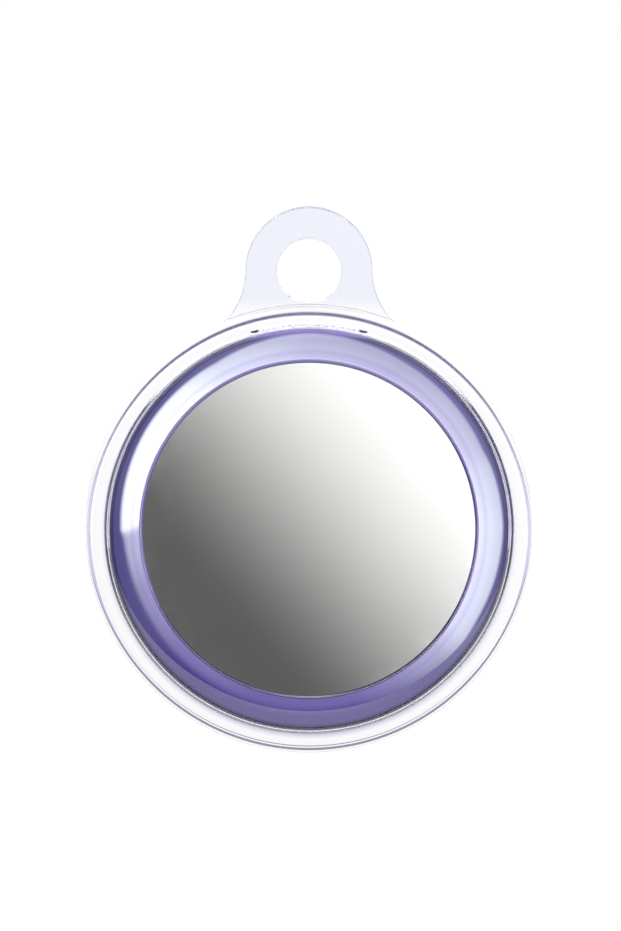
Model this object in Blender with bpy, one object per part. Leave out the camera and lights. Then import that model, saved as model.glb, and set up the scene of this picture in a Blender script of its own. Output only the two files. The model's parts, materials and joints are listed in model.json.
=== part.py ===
"""Keychain case: a clear case with a lug, a push-in bezel, and the finder tag that it holds.

Run with blender --background --python part.py, or from the text editor. Lengths are in metres.
Every piece is drawn in the case's own axes: Z runs along the axis of the disc, from the back plane
of the case (z = 0) towards the steel cover, and +Y runs up to the lug. An empty then stands the
case upright, with the cover towards -Y and the centre of the key ring hole at the origin.
Heights and radii build up from the coin cell outwards, so that each piece seats on the last one.
"""

import math

import bmesh
import bpy
from mathutils import Vector

MM = 0.001
TURN = 2 * math.pi
SMOOTH_ANGLE = math.radians(35)
FINE_SEGMENTS = 72
HIDDEN_SEGMENTS = 60
SMALL_SEGMENTS = 48
ARC_STEPS = 3
MERGE = 0.0001 * MM

# Gaps that several pieces share
SEAT = 0.10 * MM  # between a piece and what it rests on
OVERRUN = 1.0 * MM  # how far a cutter runs past what it cuts
BURIED = 0.20 * MM  # how far joined shapes run into each other

# Coin cell
CELL_RADIUS = 10.0 * MM
CELL_HEIGHT = 3.2 * MM
CELL_EDGE = 0.25 * MM
CAN_RIM = 0.95 * MM  # ring of the can that is left round the cap and its seal
CAP_PROUD = 0.15 * MM
CAP_THICKNESS = 0.7 * MM
CAP_EDGE = 0.12 * MM
GROMMET_WALL = 0.35 * MM

# Speaker: magnet, yoke and coil
MAGNET_RADIUS = 3.3 * MM
MAGNET_HEIGHT = 1.1 * MM
MAGNET_CHAMFER = 0.12 * MM
MAGNET_GAP = 0.25 * MM  # room for the dome to move under the magnet
YOKE_OVERHANG = 1.3 * MM
YOKE_THICKNESS = 0.3 * MM
COIL_GAP = 0.6 * MM
COIL_WIDTH = 1.2 * MM
COIL_HEIGHT = 0.9 * MM
COIL_EDGE = 0.15 * MM

# Circuit board and what is on it
BOARD_CLEARANCE = 0.8 * MM
BOARD_GAP = 0.15 * MM
BOARD_THICKNESS = 0.45 * MM
BOARD_NOTCH = 2.2 * MM
CHIP_PLACE_SHARE = 0.4  # of the board's width, from its hole outwards
CHIP_EDGE = 0.06 * MM
RADIO_WIDTH = 3.4 * MM
RADIO_DEPTH = 3.0 * MM
RADIO_HEIGHT = 0.40 * MM
RANGING_WIDTH = 4.2 * MM
RANGING_DEPTH = 3.2 * MM
RANGING_HEIGHT = 0.42 * MM
MEMORY_WIDTH = 3.0 * MM
MEMORY_DEPTH = 2.2 * MM
MEMORY_HEIGHT = 0.36 * MM
SENSOR_SIDE = 2.0 * MM
SENSOR_HEIGHT = 0.38 * MM
CRYSTAL_WIDTH = 2.2 * MM
CRYSTAL_DEPTH = 1.6 * MM
CRYSTAL_HEIGHT = 0.34 * MM
CHIPS = {
    # name: (width, depth, height, degrees round the board, material name)
    "radio_chip": (RADIO_WIDTH, RADIO_DEPTH, RADIO_HEIGHT, 20, "chip_black"),
    "ranging_module": (RANGING_WIDTH, RANGING_DEPTH, RANGING_HEIGHT, 80, "tinned_can"),
    "flash_memory": (MEMORY_WIDTH, MEMORY_DEPTH, MEMORY_HEIGHT, 150, "chip_black"),
    "motion_sensor": (SENSOR_SIDE, SENSOR_SIDE, SENSOR_HEIGHT, 215, "chip_black"),
    "clock_crystal": (CRYSTAL_WIDTH, CRYSTAL_DEPTH, CRYSTAL_HEIGHT, 290, "tinned_can"),
}

# Battery tray
CELL_CLEARANCE = 0.3 * MM
WELL_WALL = 0.7 * MM
WELL_DROP = 0.15 * MM  # from the cell's top face down to the top of the well
TRAY_FLOOR = 0.45 * MM
TRAY_WALL = 0.55 * MM
CONTACT_SPACE = 0.45 * MM
ANTENNA_HEIGHT = 1.0 * MM
ANTENNA_THICKNESS = 0.1 * MM
ANTENNA_FIT = 0.05 * MM
ANTENNA_SWEEP = math.radians(300)

# Battery contacts, stamped from strip
STRIP = 0.12 * MM
CONTACT_WIDTH = 1.8 * MM
CONTACT_SLOT_FIT = 0.25 * MM
CONTACT_REACH = 5.0 * MM  # from the foot to the crest of a leaf
CONTACT_TIP = 0.7 * MM
CONTACT_FOOT_INSET = 0.8 * MM
SIDE_CONTACT_HEIGHT = 2.2 * MM
SIDE_CONTACT_BELLY = 0.4 * MM

# Quarter-turn cover: steel plate, lug ring, pad and seal
COVER_THICKNESS = 0.45 * MM
COVER_CROWN = 0.5 * MM
COVER_INSET = 0.1 * MM
COVER_EDGE = 0.12 * MM
PAD_RADIUS = 8.5 * MM
PAD_THICKNESS = 0.25 * MM
SEAL_WIDTH = 0.3 * MM
SEAL_HEIGHT = 0.35 * MM
SKIRT_GAP = 0.2 * MM
SKIRT_WALL = 0.6 * MM
FLANGE = 0.5 * MM
TAB_REACH = 0.75 * MM
TAB_THICKNESS = 0.5 * MM
TAB_GAP = 0.15 * MM
TABS = 3
TAB_SWEEP = math.radians(20)
FIRST_LEDGE = math.radians(92)
LEDGE_SWEEP = math.radians(26)
LOCKED_OFFSET = math.radians(1.5)
STOP_SWEEP = math.radians(3)
STOP_OVERLAP = math.radians(0.5)
LEDGE_THICKNESS = 0.45 * MM
LEAD = 12.0 * MM  # rise of the cover in one turn, which sets the slope of its ramps

# Tag housing
DOME_WALL = 0.85 * MM
DOME_SQUARENESS = 2.7
DOME_RECESS = 0.45 * MM  # from the back plane of the case to the dome
HOUSING_FIT = 0.15 * MM
SHELF_WIDTH = 0.7 * MM
RIM_LAND = 0.15 * MM
RIM_WIDTH = 2.35 * MM
COVER_PROUD = 0.1 * MM

# Bezel
BEZEL_GAP = 0.1 * MM
BEZEL_SEAT = 0.15 * MM
BEZEL_FIT = 0.15 * MM
BEZEL_LIP = 0.75 * MM
BEZEL_LIP_EDGE = 0.15 * MM
BEZEL_SKIRT = 0.5 * MM
BEZEL_SKIRT_HEIGHT = 0.55 * MM
BEZEL_CROWN_INSET = 0.8 * MM  # from the lip inwards to the top of the curve of which the crown is a part
BEAD_HEIGHT = 0.1 * MM
BEAD_WIDTH = 0.3 * MM
GROOVE_DEPTH = 0.15 * MM

# Case shell
CASE_FIT = 0.15 * MM
CASE_WALL = 1.6 * MM
CASE_FILLET = 0.55 * MM
CASE_FILLET_SPREAD = 0.4 * MM  # how much wider the front fillet is under the lug
CASE_MOUTH = 0.12 * MM
NOTCH_WIDTH = 8.8 * MM
NOTCH_DEPTH = 0.25 * MM
NOTCH_DROP = 0.6 * MM
CASE_STAND = 0.6 * MM  # how far the wall stands above the bezel's outer edge
LIP_REACH = 3.5 * MM
LIP_EDGE = 0.3 * MM

# Lug
LUG_WEB = 0.33 * MM  # between the case's wall and the key ring hole
LUG_RADIUS = 5.05 * MM
LUG_THICKNESS = 2.8 * MM
LUG_HOLE_RADIUS = 2.57 * MM
LUG_HOLE_CHAMFER = 0.12 * MM
LUG_EDGE = 0.25 * MM
LUG_NECK_RADIUS = 5.8 * MM
LUG_FILLET = 0.3 * MM
LUG_FILLET_END = 110  # degrees: the fillets stop short of 90, to meet the lug's faces at a clear angle
LUG_COLLAR_INSET = 0.1 * MM
LUG_SEAM = 0.02 * MM

# Radii, from the cell out to the case
cap_recess = CELL_RADIUS - CAN_RIM
cap_radius = cap_recess - GROMMET_WALL
well_inner = CELL_RADIUS + CELL_CLEARANCE
well_outer = well_inner + WELL_WALL
skirt_inner = well_outer + SKIRT_GAP
skirt_outer = skirt_inner + SKIRT_WALL
ledge_inner = skirt_outer + SKIRT_GAP
tab_outer = skirt_outer + TAB_REACH
channel_outer = tab_outer + SKIRT_GAP
tray_outer = channel_outer + TRAY_WALL
cover_radius = tray_outer - COVER_INSET
housing_bore = tray_outer + HOUSING_FIT
rim_start = housing_bore + RIM_LAND
tag_radius = rim_start + RIM_WIDTH
case_bore = tag_radius + CASE_FIT
case_radius = case_bore + CASE_WALL
bezel_inner = cover_radius + BEZEL_GAP
bezel_outer = case_bore - BEZEL_FIT
window_radius = case_bore - LIP_REACH
lug_rise = case_radius + LUG_WEB + LUG_HOLE_RADIUS

# Heights, from the back plane of the case up to the steel cover
dome_bottom = DOME_RECESS
dome_floor = dome_bottom + DOME_WALL
magnet_bottom = dome_floor + MAGNET_GAP
magnet_top = magnet_bottom + MAGNET_HEIGHT
yoke_bottom = magnet_top + SEAT
yoke_top = yoke_bottom + YOKE_THICKNESS
tray_bottom = yoke_top + SEAT
tray_floor_top = tray_bottom + TRAY_FLOOR
cell_bottom = tray_floor_top + CONTACT_SPACE
cell_top = cell_bottom + CELL_HEIGHT
pad_bottom = cell_top + SEAT
pad_top = pad_bottom + PAD_THICKNESS
equator = (cell_bottom + cell_top) / 2


def crown_drop(radius):
    """How far the cover's faces lie below their middle at this radius."""
    return COVER_CROWN * (radius / cover_radius) ** 2


cover_under = pad_top + SEAT + crown_drop(PAD_RADIUS)
cover_top = cover_under + COVER_THICKNESS
rim_top = cover_top - COVER_CROWN - COVER_PROUD
seal_inner = channel_outer + SEAT / 2
seal_outer = seal_inner + SEAL_WIDTH
seal_top = cover_under - crown_drop(seal_outer) - SEAT
seal_bottom = seal_top - SEAL_HEIGHT
tray_top = seal_bottom - SEAT
flange_top = cover_under - crown_drop(tab_outer) - SEAT
flange_bottom = flange_top - FLANGE
ledge_top = flange_bottom - TAB_GAP
ledge_high = ledge_top - LEDGE_THICKNESS
ledge_low = ledge_high - LEAD * LEDGE_SWEEP / TURN
tab_low = ledge_low + LEAD * LOCKED_OFFSET / TURN - TAB_GAP
tab_high = tab_low + LEAD * TAB_SWEEP / TURN
tab_bottom = tab_low - TAB_THICKNESS
board_top = tray_bottom - BOARD_GAP
board_bottom = board_top - BOARD_THICKNESS
bezel_under = rim_top + BEZEL_SEAT
bezel_top = bezel_under + BEZEL_LIP


def dome_height(radius, reach=tag_radius, depth=equator - dome_bottom):
    """Height of a dome's outer surface, which is widest at the equator and lowest on the axis."""
    share = min(radius / reach, 1.0)
    return equator - depth * (1 - share**DOME_SQUARENESS) ** (1 / DOME_SQUARENESS)


def dome_inside_radius(height):
    """Radius at which the inside of the tag's dome reaches this height."""
    share = (equator - (height - DOME_WALL)) / (equator - dome_bottom)
    share = min(max(share, 0.0), 1.0)
    return tag_radius * (1 - share**DOME_SQUARENESS) ** (1 / DOME_SQUARENESS)


def shared_steps(count):
    """The shares 0 to 1 in equal steps."""
    return [step / count for step in range(count + 1)]


def arc(centre, radius, start, end, steps=ARC_STEPS):
    """Points of a circle's arc between two angles in degrees."""
    found = []
    for share in shared_steps(steps):
        angle = math.radians(start + (end - start) * share)
        found.append((centre[0] + radius * math.cos(angle), centre[1] + radius * math.sin(angle)))
    return found


def rim_curve(gap, end_radius, steps):
    """The curve of the tag's rim, offset outwards by gap, from its land to end_radius."""
    width, depth = RIM_WIDTH + gap, rim_top - equator + gap
    end = math.asin(min((end_radius - rim_start) / width, 1.0))
    return [
        (rim_start + width * math.sin(end * share), equator + depth * math.cos(end * share))
        for share in shared_steps(steps)
    ]


def material(name, colour, roughness, metallic=0.0, transmission=0.0):
    made = bpy.data.materials.new(name)
    made.use_nodes = True
    made.diffuse_color = (*colour, 1.0)
    shader = made.node_tree.nodes["Principled BSDF"]
    shader.inputs["Base Color"].default_value = (*colour, 1.0)
    shader.inputs["Roughness"].default_value = roughness
    shader.inputs["Metallic"].default_value = metallic
    shader.inputs["Transmission Weight"].default_value = transmission
    return made


def make_materials():
    return {
        "clear_lavender": material("clear_lavender", (0.86, 0.87, 0.97), 0.03, transmission=1.0),
        "violet": material("violet", (0.30, 0.25, 0.62), 0.12),
        "steel": material("steel", (0.72, 0.72, 0.70), 0.18, metallic=1.0),
        "white": material("white", (0.86, 0.86, 0.84), 0.25),
        "tray_grey": material("tray_grey", (0.55, 0.56, 0.58), 0.45),
        "lug_ring_black": material("lug_ring_black", (0.05, 0.05, 0.055), 0.5),
        "foam": material("foam", (0.12, 0.12, 0.13), 0.95),
        "seal_rubber": material("seal_rubber", (0.06, 0.06, 0.07), 0.8),
        "cell_steel": material("cell_steel", (0.62, 0.63, 0.65), 0.28, metallic=1.0),
        "grommet": material("grommet", (0.10, 0.10, 0.11), 0.7),
        "board_green": material("board_green", (0.02, 0.10, 0.05), 0.4),
        "chip_black": material("chip_black", (0.03, 0.03, 0.035), 0.5),
        "tinned_can": material("tinned_can", (0.60, 0.61, 0.62), 0.3, metallic=1.0),
        "copper": material("copper", (0.75, 0.38, 0.20), 0.3, metallic=1.0),
        "magnet": material("magnet", (0.50, 0.50, 0.52), 0.3, metallic=1.0),
        "contact": material("contact", (0.80, 0.68, 0.36), 0.25, metallic=1.0),
    }


def finish(name, bm, body, finish_material):
    """Makes bm an object of that name on body's axes."""
    bmesh.ops.recalc_face_normals(bm, faces=bm.faces[:])
    mesh = bpy.data.meshes.new(name)
    bm.to_mesh(mesh)
    bm.free()
    mesh.shade_smooth()
    mesh.set_sharp_from_angle(angle=SMOOTH_ANGLE)
    if finish_material:
        mesh.materials.append(finish_material)
    made = bpy.data.objects.new(name, mesh)
    bpy.context.scene.collection.objects.link(made)
    made.parent = body
    return made


def turned(name, profile, body, finish_material=None, segments=FINE_SEGMENTS):
    """A profile of (radius, height) points turned about Z. It is a closed loop, or runs axis to axis."""
    bm = bmesh.new()
    points = [bm.verts.new((radius, 0.0, height)) for radius, height in profile]
    edges = [bm.edges.new(pair) for pair in zip(points, points[1:])]
    if profile[0][0] > 0:
        edges.append(bm.edges.new((points[-1], points[0])))
    bmesh.ops.spin(
        bm, geom=points + edges, cent=(0, 0, 0), axis=(0, 0, 1), angle=TURN, steps=segments, use_merge=True
    )
    bmesh.ops.remove_doubles(bm, verts=bm.verts[:], dist=MERGE)
    return finish(name, bm, body, finish_material)


def swept(name, sections, body, finish_material=None):
    """A solid through a run of sections, each a loop of points, closed at both ends."""
    bm = bmesh.new()
    loops = [[bm.verts.new(point) for point in section] for section in sections]
    count = len(loops[0])
    for near, far in zip(loops, loops[1:]):
        for k in range(count):
            bm.faces.new((near[k], near[(k + 1) % count], far[(k + 1) % count], far[k]))
    bm.faces.new(loops[0])
    bm.faces.new(reversed(loops[-1]))
    return finish(name, bm, body, finish_material)


def arc_block(name, radii, floor, top, start, sweep, body, finish_material=None, steps=ARC_STEPS):
    """A block that bends round the axis. floor and top are its heights at its start and at its end."""
    sections = []
    for share in shared_steps(steps):
        angle = start + sweep * share
        low = floor[0] + (floor[1] - floor[0]) * share
        high = top[0] + (top[1] - top[0]) * share
        outwards = Vector((math.cos(angle), math.sin(angle), 0.0))
        corners = ((radii[0], low), (radii[1], low), (radii[1], high), (radii[0], high))
        sections.append([outwards * radius + Vector((0.0, 0.0, height)) for radius, height in corners])
    return swept(name, sections, body, finish_material)


def prism(name, outline, floor, top, body, finish_material=None):
    """An outline of (x, y) points raised from floor to top."""
    sections = [[(x, y, height) for x, y in outline] for height in (floor, top)]
    return swept(name, sections, body, finish_material)


def ribbon(name, line, thickness, width, angle, body, finish_material=None):
    """A strip of sheet metal bent along line, (radius, height) points, standing at angle round the axis."""
    points = [Vector(point) for point in line]
    sides = []
    for k, point in enumerate(points):
        ahead = (points[min(k + 1, len(points) - 1)] - points[max(k - 1, 0)]).normalized()
        sides.append(Vector((-ahead.y, ahead.x)) * thickness / 2)
    outline = [point + side for point, side in zip(points, sides)]
    outline += [point - side for point, side in reversed(list(zip(points, sides)))]
    outwards = Vector((math.cos(angle), math.sin(angle), 0.0))
    across = Vector((-math.sin(angle), math.cos(angle), 0.0))
    sections = [
        [outwards * point.x + across * offset + Vector((0.0, 0.0, point.y)) for point in outline]
        for offset in (-width / 2, width / 2)
    ]
    return swept(name, sections, body, finish_material)


def combine(target, other, operation):
    """Joins, cuts or limits target by other, which is then only a guide."""
    change = target.modifiers.new(f"{operation.lower()} {other.name}", "BOOLEAN")
    change.operation = operation
    change.object = other
    change.solver = "EXACT"
    other.hide_render = True
    other.display_type = "WIRE"


def weld(target):
    """Closes the slivers that a cut can leave where three surfaces nearly meet."""
    target.modifiers.new("weld", "WELD").merge_threshold = MERGE


def bevel(target, width, segments):
    rounding = target.modifiers.new("rounded edges", "BEVEL")
    rounding.width = width
    rounding.segments = segments
    rounding.limit_method = "ANGLE"
    rounding.angle_limit = math.radians(50)


def around(radius, height_low, height_high, edge):
    """The outer side of a plain disc with a chamfered edge at both faces, from the axis to the axis."""
    return [
        (0.0, height_low),
        (radius - edge, height_low),
        (radius, height_low + edge),
        (radius, height_high - edge),
        (radius - edge, height_high),
        (0.0, height_high),
    ]


def band(inner, outer, height_low, height_high):
    """The rectangle that turns into a plain ring."""
    return [(inner, height_low), (outer, height_low), (outer, height_high), (inner, height_high)]


def body_axes(name, parent):
    made = bpy.data.objects.new(name, None)
    bpy.context.scene.collection.objects.link(made)
    made.parent = parent
    return made


def make_case_shell(wall_top, body, finishes):
    """Ring wall with the back lip that carries the dome, the snap groove and the notch to prise the bezel by."""
    skirt_bottom = bezel_skirt_bottom()
    bead_middle = skirt_bottom + BEZEL_SKIRT_HEIGHT / 2
    groove_half = BEAD_WIDTH / 2 + GROOVE_DEPTH
    outer_low = arc((case_radius - CASE_FILLET, CASE_FILLET), CASE_FILLET, -90, 0)
    outer_high = arc((case_radius - CASE_FILLET, wall_top - CASE_FILLET), CASE_FILLET, 0, 90)
    seat = []
    for share in shared_steps(5)[:-1]:
        radius = case_bore * math.cos(math.acos(window_radius / case_bore) * share)
        seat.append((radius, dome_height(radius, case_bore, equator - dome_bottom + CASE_FIT)))
    profile = [
        (window_radius + LIP_EDGE, 0.0),
        *outer_low,
        *outer_high,
        (case_bore + CASE_MOUTH, wall_top),
        (case_bore, wall_top - CASE_MOUTH),
        (case_bore, bead_middle + groove_half),
        (case_bore + GROOVE_DEPTH, bead_middle + BEAD_WIDTH / 2),
        (case_bore + GROOVE_DEPTH, bead_middle - BEAD_WIDTH / 2),
        (case_bore, bead_middle - groove_half),
        *seat,
        (window_radius, dome_height(window_radius, case_bore, equator - dome_bottom + CASE_FIT)),
        (window_radius, LIP_EDGE),
    ]
    shell = turned("case_shell", profile, body, finishes["clear_lavender"])
    for vertex in shell.data.vertices:
        rise = (vertex.co.z - wall_top) / CASE_FILLET + 1
        radius = math.hypot(vertex.co.x, vertex.co.y)
        if rise > 0 and radius > case_radius - CASE_WALL / 2:
            spread = CASE_FILLET_SPREAD * (1 - (1 - rise) ** 2) * max(vertex.co.y / radius, 0.0)
            vertex.co.x -= spread * vertex.co.x / radius
            vertex.co.y -= spread * vertex.co.y / radius
    half_notch = math.asin(NOTCH_WIDTH / 2 / case_bore)
    notch = arc_block(
        "prising_notch",
        (case_bore - BURIED, case_bore + NOTCH_DEPTH),
        (wall_top - NOTCH_DROP,) * 2,
        (wall_top + OVERRUN,) * 2,
        TURN / 4 - half_notch,
        2 * half_notch,
        body,
        steps=2 * ARC_STEPS,
    )
    combine(shell, notch, "DIFFERENCE")


def make_case_lug(wall_top, body, finishes):
    """The lug with the key ring hole. Its foot is cut to the wall of the case that it grows from."""
    plate_low = (wall_top - LUG_THICKNESS) / 2
    plate_high = plate_low + LUG_THICKNESS
    lug = prism("case_lug", lug_outline(), plate_low, plate_high, body, finishes["clear_lavender"])
    bevel(lug, LUG_EDGE, 3)
    collar = make_lug_collar(plate_low, plate_high, body)
    hole = turned("lug_hole", lug_hole_profile(plate_low, plate_high), body, segments=SMALL_SEGMENTS)
    hole.location = (0.0, lug_rise, 0.0)
    wall_profile = around(case_radius + LUG_SEAM, -OVERRUN, wall_top + OVERRUN, OVERRUN / 2)
    wall = turned("lug_foot_cut", wall_profile, body)
    combine(lug, collar, "UNION")
    combine(lug, hole, "DIFFERENCE")
    combine(lug, wall, "DIFFERENCE")
    weld(lug)


def lug_outline(inset=0.0):
    """The lug seen from the front: an ear, a hollow neck each side, and a foot inside the ring wall."""
    ear_radius, neck_radius = LUG_RADIUS - inset, LUG_NECK_RADIUS + inset
    far, near = case_radius - BURIED - inset + neck_radius, ear_radius + neck_radius
    neck_y = (far**2 - near**2 + lug_rise**2) / (2 * lug_rise)
    neck_x = math.sqrt(far**2 - neck_y**2)
    to_ring = math.degrees(math.atan2(neck_y, neck_x))
    to_ear = math.degrees(math.atan2(neck_y - lug_rise, neck_x))
    foot = case_bore + CASE_WALL / 2
    outline = arc((0.0, 0.0), foot, 180 - to_ring, to_ring, 6)
    outline += arc((neck_x, neck_y), neck_radius, 180 + to_ring, 180 + to_ear, 6)
    outline += arc((0.0, lug_rise), ear_radius, to_ear, 180 - to_ear, 20)[1:-1]
    outline += arc((-neck_x, neck_y), neck_radius, -to_ear, -to_ring, 6)
    return outline


def make_lug_collar(plate_low, plate_high, body):
    """The fillets between the ring wall and both faces of the lug, kept inside the lug's outline."""
    root = case_radius - 2 * BURIED
    stand = LUG_FILLET * math.sin(math.radians(LUG_FILLET_END))
    low = arc((case_radius + LUG_FILLET, plate_low - stand), LUG_FILLET, 180, LUG_FILLET_END)
    high = arc((case_radius + LUG_FILLET, plate_high + stand), LUG_FILLET, -LUG_FILLET_END, -180)
    tip = low[-1][0] + BURIED
    inner = [(tip, plate_low + BURIED), (tip, plate_high - BURIED)]
    profile = [(root, plate_low - stand), *low, *inner, *high, (root, plate_high + stand)]
    sweep = 4 * math.atan(LUG_RADIUS / lug_rise)
    steps = 12
    sections = []
    for share in shared_steps(steps):
        angle = TURN / 4 - sweep / 2 + sweep * share
        outwards = Vector((math.cos(angle), math.sin(angle), 0.0))
        sections.append([outwards * radius + Vector((0.0, 0.0, height)) for radius, height in profile])
    collar = swept("lug_collar", sections, body)
    outline = lug_outline(LUG_COLLAR_INSET)
    limit = prism("lug_limit", outline, plate_low - LUG_FILLET - OVERRUN, plate_high + LUG_FILLET + OVERRUN, body)
    combine(collar, limit, "INTERSECT")
    return collar


def lug_hole_profile(plate_low, plate_high):
    wide = LUG_HOLE_RADIUS + LUG_HOLE_CHAMFER + OVERRUN
    return [
        (0.0, plate_low - OVERRUN),
        (wide, plate_low - OVERRUN),
        (LUG_HOLE_RADIUS, plate_low + LUG_HOLE_CHAMFER),
        (LUG_HOLE_RADIUS, plate_high - LUG_HOLE_CHAMFER),
        (wide, plate_high + OVERRUN),
        (0.0, plate_high + OVERRUN),
    ]


def bezel_skirt_bottom():
    """Where the bezel's underside has followed the tag's rim out to the inner wall of its skirt."""
    return rim_curve(BEZEL_SEAT, bezel_outer - BEZEL_SKIRT, 1)[-1][1]


def make_bezel(body, finishes):
    """Ring that pushes into the case, laps the tag's rim and frames the steel cover."""
    under = rim_curve(BEZEL_SEAT, bezel_outer - BEZEL_SKIRT, 3)
    skirt_bottom = under[-1][1]
    edge_top = skirt_bottom + BEZEL_SKIRT_HEIGHT
    bead_middle = skirt_bottom + BEZEL_SKIRT_HEIGHT / 2
    crown_middle = bezel_inner - BEZEL_CROWN_INSET
    crown_reach = bezel_outer - crown_middle
    first = math.asin((BEZEL_CROWN_INSET + BEZEL_LIP_EDGE) / crown_reach)
    crown_rise = (bezel_top - edge_top) / math.cos(first)
    crown = []
    for share in shared_steps(8):
        angle = first + (TURN / 4 - first) * share
        crown.append((crown_middle + crown_reach * math.sin(angle), edge_top + crown_rise * math.cos(angle)))
    profile = [
        (bezel_inner, bezel_top - BEZEL_LIP_EDGE),
        *crown,
        (bezel_outer, bead_middle + BEAD_WIDTH / 2),
        (bezel_outer + BEAD_HEIGHT, bead_middle),
        (bezel_outer, bead_middle - BEAD_WIDTH / 2),
        (bezel_outer, skirt_bottom),
        *reversed(under),
        (bezel_inner, bezel_under),
    ]
    turned("retaining_bezel", profile, body, finishes["violet"])


def make_tag_housing(body, finishes):
    """One-piece domed cup: a thin dome that sounds as the speaker cone, and a thick rolled rim."""
    shelf = tray_bottom - SEAT
    shelf_inner = min(housing_bore - SHELF_WIDTH, dome_inside_radius(shelf - SEAT))
    outside = [(0.0, dome_bottom)]
    for share in shared_steps(8)[1:]:
        radius = tag_radius * math.sin(TURN / 4 * share)
        outside.append((radius, dome_height(radius)))
    inside = []
    for share in shared_steps(4):
        radius = shelf_inner * share
        inside.append((radius, dome_height(radius) + DOME_WALL))
    profile = [
        *outside,
        *reversed(rim_curve(0.0, tag_radius, 4)[:-1]),
        (housing_bore, rim_top),
        (housing_bore, shelf),
        (shelf_inner, shelf),
        *reversed(inside),
    ]
    turned("tag_housing", profile, body, finishes["white"], HIDDEN_SEGMENTS)


def make_battery_tray(body, finishes):
    """Frame with the cell's well, the channel that takes the cover's lugs, and the ramped ledges."""
    groove_low = equator - ANTENNA_HEIGHT / 2 - ANTENNA_FIT
    groove_high = equator + ANTENNA_HEIGHT / 2 + ANTENNA_FIT
    groove = tray_outer - ANTENNA_THICKNESS - 2 * ANTENNA_FIT
    profile = [
        (0.0, tray_bottom),
        (tray_outer, tray_bottom),
        (tray_outer, groove_low),
        (groove, groove_low),
        (groove, groove_high),
        (tray_outer, groove_high),
        (tray_outer, tray_top),
        (channel_outer, tray_top),
        (channel_outer, tray_floor_top),
        (well_outer, tray_floor_top),
        (well_outer, cell_top - WELL_DROP),
        (well_inner, cell_top - WELL_DROP),
        (well_inner, tray_floor_top),
        (0.0, tray_floor_top),
    ]
    tray = turned("battery_tray", profile, body, finishes["tray_grey"], SMALL_SEGMENTS)
    for k in range(TABS):
        start = ledge_start(k)
        ledge = arc_block(
            f"ledge_{k}",
            (ledge_inner, channel_outer + BURIED / 2),
            (ledge_low, ledge_high),
            (ledge_top,) * 2,
            start,
            LEDGE_SWEEP,
            body,
            steps=6,
        )
        stop = arc_block(
            f"ledge_stop_{k}",
            (ledge_inner + BURIED / 2, channel_outer + BURIED),
            (tab_bottom,) * 2,
            (ledge_top - BURIED / 2,) * 2,
            start - STOP_SWEEP,
            STOP_SWEEP + STOP_OVERLAP,
            body,
            steps=1,
        )
        combine(tray, ledge, "UNION")
        combine(tray, stop, "UNION")
    half_slot = CONTACT_WIDTH / 2 + CONTACT_SLOT_FIT
    for name, angle in negative_contacts().items():
        slot_middle = negative_foot_radius()
        slot = radial_box(f"slot_{name}", slot_middle, STRIP / 2 + CONTACT_SLOT_FIT, half_slot, angle, body)
        combine(tray, slot, "DIFFERENCE")
    window = radial_box(
        "slot_side",
        side_foot_radius(),
        WELL_WALL / 2 + CELL_CLEARANCE / 2,
        half_slot,
        TURN / 4,
        body,
        high=cell_top,
    )
    combine(tray, window, "DIFFERENCE")


def radial_box(name, radius, half_depth, half_width, angle, body, low=tray_bottom - OVERRUN, high=tray_floor_top + OVERRUN):
    """A box that lies at a radius, square to it, for cutting slots."""
    outwards = Vector((math.cos(angle), math.sin(angle)))
    across = Vector((-math.sin(angle), math.cos(angle)))
    corners = ((-1, -1), (1, -1), (1, 1), (-1, 1))
    outline = [outwards * (radius + half_depth * i) + across * half_width * j for i, j in corners]
    return prism(name, outline, low, high, body)


def ledge_start(k):
    """Where the low end of a ledge lies round the axis."""
    return TURN * k / TABS + FIRST_LEDGE


def negative_contacts():
    return {"negative_contact_left": math.radians(205), "negative_contact_right": math.radians(335)}


def negative_foot_radius():
    return cap_radius - CONTACT_FOOT_INSET


def side_foot_radius():
    return (well_inner + well_outer) / 2


def make_contacts(body, finishes):
    """Two leaves that press on the cap of the cell, and one that presses on the side of its can."""
    low = tray_floor_top + SEAT / 2 + STRIP / 2
    high = cell_bottom - SEAT / 2 - STRIP / 2
    foot = negative_foot_radius()
    leaf = [
        (foot, board_top + SEAT / 2),
        (foot, low - STRIP),
        (foot - STRIP, low),
        (foot - CONTACT_REACH / 3, low),
        (foot - CONTACT_REACH, high),
        (foot - CONTACT_REACH - CONTACT_TIP, low + STRIP),
    ]
    for name, angle in negative_contacts().items():
        ribbon(name, leaf, STRIP, CONTACT_WIDTH, angle, body, finishes["contact"])
    foot = side_foot_radius()
    touch = CELL_RADIUS + SEAT + STRIP / 2
    base = tray_floor_top + CONTACT_SPACE
    spring = [
        (foot, board_top + SEAT / 2),
        (foot, base),
        (touch, base + SIDE_CONTACT_HEIGHT / 2),
        (foot - STRIP, base + SIDE_CONTACT_HEIGHT),
    ]
    ribbon("positive_contact", spring, STRIP, CONTACT_WIDTH, TURN / 4, body, finishes["contact"])


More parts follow.
